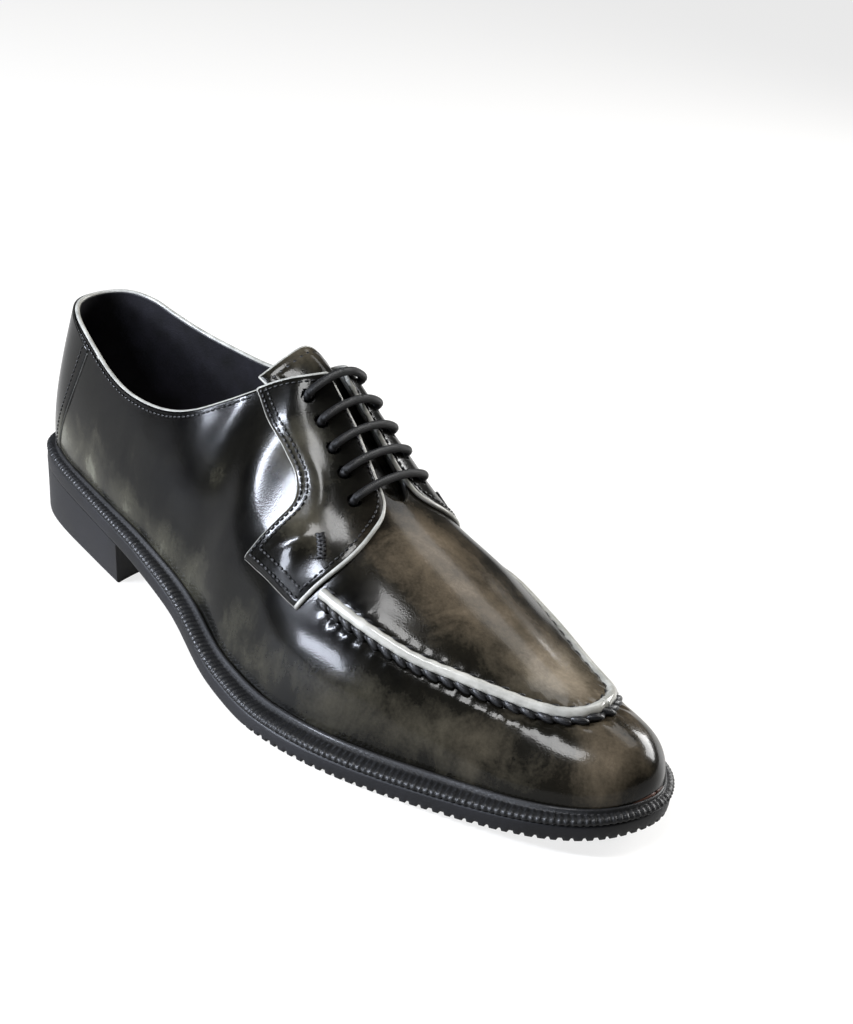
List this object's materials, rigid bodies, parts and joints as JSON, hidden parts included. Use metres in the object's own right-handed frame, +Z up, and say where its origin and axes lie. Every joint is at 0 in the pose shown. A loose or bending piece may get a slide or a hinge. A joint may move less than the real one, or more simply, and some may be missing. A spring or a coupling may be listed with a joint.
{
  "type": "apron derby dress shoe",
  "caption": "Right-foot leather dress shoe with open-laced facings, a raised apron seam, a hollow upper, a welted outsole and a block heel.",
  "frame": {"origin": "middle of the shoe's footprint, on the floor", "axes": "+X from the heel to the toe, +Y towards the big-toe side, +Z up"},
  "size_m": [0.309, 0.1084, 0.1091],
  "materials": {
    "patina_calf": "hand-patinated, glossy",
    "pale_piping": "satin",
    "welt_leather": "satin, wheeled",
    "sock_leather": "matte",
    "sole_rubber": "satin",
    "lace": "waxed"
  },
  "bodies": {
    "root": {"outsole": "sole_rubber", "heel_block": "sole_rubber", "welt": "welt_leather", "insole": "sock_leather", "upper": "patina_calf", "facing_lateral": "patina_calf", "facing_medial": "patina_calf", "back_strip": "patina_calf", "apron_seam": "pale_piping", "tongue": "patina_calf", "lace_bar_1": "lace", "lace_bar_2": "lace", "lace_bar_3": "lace", "lace_bar_4": "lace", "lace_bar_5": "lace"}
  },
  "joints": []
}
